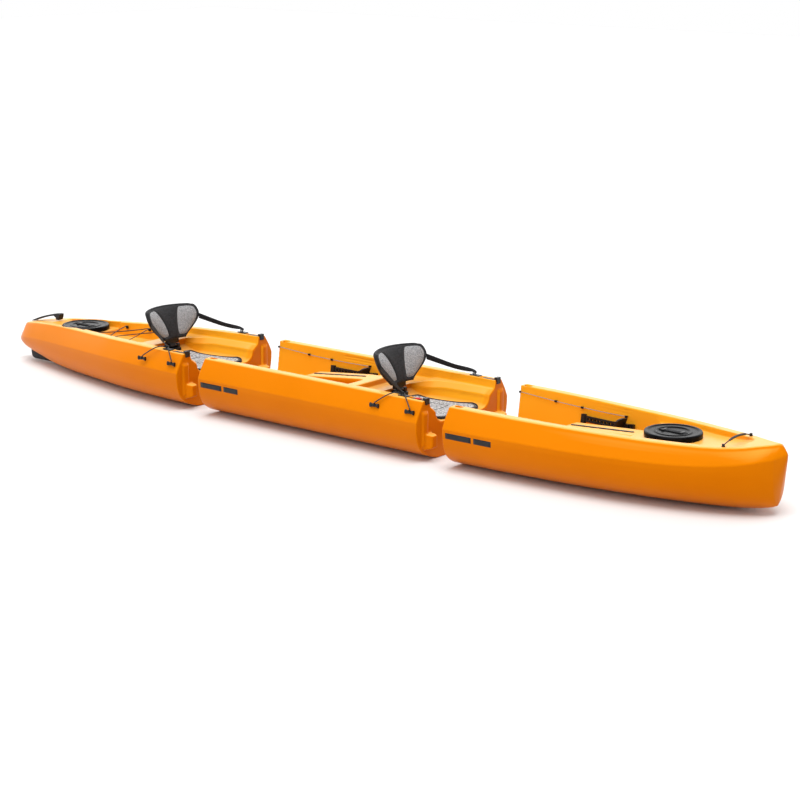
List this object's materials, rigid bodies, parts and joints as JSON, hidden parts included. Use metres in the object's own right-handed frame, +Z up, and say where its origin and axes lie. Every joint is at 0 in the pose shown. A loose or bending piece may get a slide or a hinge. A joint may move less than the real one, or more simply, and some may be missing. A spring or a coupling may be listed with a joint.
{
  "type": "sit-on-top kayak",
  "caption": "Sit-on-top kayak in bow, middle and stern sections drawn pulled apart, with padded seats, foot pedals, round hatches, a bungee net and a rudder.",
  "frame": {"origin": "centre of the whole kayak in plan, on the plane that its flat bottom rests on", "axes": "+X towards the bow, +Y to port, +Z up"},
  "size_m": [5.059, 0.742, 0.456],
  "materials": {
    "hull_plastic": "semi-gloss rotomoulded polyethylene",
    "seat_fabric": "mottled grey knit with a black border",
    "back_padding": "black padded fabric with grey mesh side panels",
    "webbing": "woven nylon",
    "shock_cord": "braided shock cord",
    "steering_line": "grey braided line",
    "hatch_plastic": "satin black rubber",
    "handle_sleeve": "grey and black grip sleeve",
    "rudder_plastic": "moulded black plastic",
    "black_fittings": "moulded black nylon"
  },
  "bodies": {
    "mid_section": {"mid_hull": "hull_plastic", "mid_console_strip": "black_fittings", "mid_rail_port": "black_fittings", "mid_rail_stbd": "black_fittings", "mid_line_port": "steering_line", "mid_line_stbd": "steering_line", "mid_line_eyes": "black_fittings", "mid_line_beads": "black_fittings", "mid_seat_pad": "seat_fabric", "mid_back_base": "black_fittings", "mid_rim_plate_port": "black_fittings", "mid_rim_plate_stbd": "black_fittings", "mid_back_strap_port": "webbing", "mid_back_strap_stbd": "webbing", "mid_cord_fore": "shock_cord", "mid_cord_aft": "shock_cord", "mid_toggle_fore": "black_fittings", "mid_toggle_aft": "black_fittings", "mid_drain_plug": "black_fittings"},
    "bow_section": {"bow_hull": "hull_plastic", "bow_console_strip": "black_fittings", "bow_rail_port": "black_fittings", "bow_rail_stbd": "black_fittings", "bow_line_port": "steering_line", "bow_line_stbd": "steering_line", "bow_line_eyes": "black_fittings", "bow_line_beads": "black_fittings", "bow_hatch_ring": "hatch_plastic", "bow_handle_eyes": "black_fittings"},
    "stern_section": {"stern_hull": "hull_plastic", "stern_seat_pad": "seat_fabric", "stern_back_base": "black_fittings", "stern_rim_plate_port": "black_fittings", "stern_rim_plate_stbd": "black_fittings", "stern_back_strap_port": "webbing", "stern_back_strap_stbd": "webbing", "stern_cord_fore": "shock_cord", "stern_cord_aft": "shock_cord", "stern_toggle_fore": "black_fittings", "stern_toggle_aft": "black_fittings", "stern_hatch_ring": "hatch_plastic", "stern_handle": "black_fittings", "rudder_tube": "rudder_plastic", "bungee_net": "shock_cord", "bungee_hooks": "black_fittings"},
    "mid_pedal_port_body": {"mid_pedal_port": "black_fittings"},
    "mid_pedal_stbd_body": {"mid_pedal_stbd": "black_fittings"},
    "bow_pedal_port_body": {"bow_pedal_port": "black_fittings"},
    "bow_pedal_stbd_body": {"bow_pedal_stbd": "black_fittings"},
    "mid_backrest_body": {"mid_backrest": "back_padding"},
    "stern_backrest_body": {"stern_backrest": "back_padding"},
    "mid_latch_port_body": {"mid_latch_port": "black_fittings"},
    "mid_latch_stbd_body": {"mid_latch_stbd": "black_fittings"},
    "stern_latch_port_body": {"stern_latch_port": "black_fittings"},
    "stern_latch_stbd_body": {"stern_latch_stbd": "black_fittings"},
    "bow_hatch_lid_body": {"bow_hatch_lid": "hatch_plastic"},
    "stern_hatch_lid_body": {"stern_hatch_lid": "hatch_plastic"},
    "bow_handle_body": {"bow_handle": "handle_sleeve"},
    "rudder_blade_body": {"rudder_blade": "rudder_plastic"}
  },
  "joints": [
    {"name": "bow_section_slide", "type": "slide", "parent": "mid_section", "child": "bow_section", "axis": [-1, 0, 0], "range_m": [0, 0.15]},
    {"name": "stern_section_slide", "type": "slide", "parent": "mid_section", "child": "stern_section", "axis": [1, 0, 0], "range_m": [0, 0.15]},
    {"name": "bow_lid_lift", "type": "slide", "parent": "bow_section", "child": "bow_hatch_lid_body", "axis": [0, 0, 1], "range_m": [0, 0.12]},
    {"name": "stern_lid_lift", "type": "slide", "parent": "stern_section", "child": "stern_hatch_lid_body", "axis": [0, 0, 1], "range_m": [0, 0.12]},
    {"name": "rudder_turn", "type": "hinge", "parent": "stern_section", "child": "rudder_blade_body", "pos_m": [-2.2975, 0, 0.1], "axis": [0, 0, 1], "range_deg": [-35, 35]},
    {"name": "bow_handle_swing", "type": "hinge", "parent": "bow_section", "child": "bow_handle_body", "pos_m": [2.2775, 0, 0.314], "axis": [0, 1, 0], "range_deg": [-60, 60]},
    {"name": "mid_pedal_port_slide", "type": "slide", "parent": "mid_section", "child": "mid_pedal_port_body", "axis": [1, 0, 0], "range_m": [-0.205, 0.002]},
    {"name": "mid_pedal_stbd_slide", "type": "slide", "parent": "mid_section", "child": "mid_pedal_stbd_body", "axis": [1, 0, 0], "range_m": [-0.205, 0.002]},
    {"name": "bow_pedal_port_slide", "type": "slide", "parent": "bow_section", "child": "bow_pedal_port_body", "axis": [0.9971, -0.0757, 0], "range_m": [-0.205, 0.002]},
    {"name": "bow_pedal_stbd_slide", "type": "slide", "parent": "bow_section", "child": "bow_pedal_stbd_body", "axis": [0.9971, 0.0757, 0], "range_m": [-0.205, 0.002]},
    {"name": "mid_backrest_tilt", "type": "hinge", "parent": "mid_section", "child": "mid_backrest_body", "pos_m": [0.3435, 0, 0.24], "axis": [0, 1, 0], "range_deg": [-6, 45], "deforming": ["mid_back_strap_port", "mid_back_strap_stbd"]},
    {"name": "mid_latch_port_turn", "type": "hinge", "parent": "mid_section", "child": "mid_latch_port_body", "pos_m": [0.6615, 0.288, 0.2965], "axis": [0, -1, 0], "range_deg": [0, 120]},
    {"name": "mid_latch_stbd_turn", "type": "hinge", "parent": "mid_section", "child": "mid_latch_stbd_body", "pos_m": [0.6615, -0.288, 0.2965], "axis": [0, -1, 0], "range_deg": [0, 120]},
    {"name": "stern_backrest_tilt", "type": "hinge", "parent": "stern_section", "child": "stern_backrest_body", "pos_m": [-1.2715, 0, 0.24], "axis": [0, 1, 0], "range_deg": [-6, 45], "deforming": ["stern_back_strap_port", "stern_back_strap_stbd"]},
    {"name": "stern_latch_port_turn", "type": "hinge", "parent": "stern_section", "child": "stern_latch_port_body", "pos_m": [-0.9535, 0.288, 0.2965], "axis": [0, -1, 0], "range_deg": [0, 120]},
    {"name": "stern_latch_stbd_turn", "type": "hinge", "parent": "stern_section", "child": "stern_latch_stbd_body", "pos_m": [-0.9535, -0.288, 0.2965], "axis": [0, -1, 0], "range_deg": [0, 120]}
  ]
}
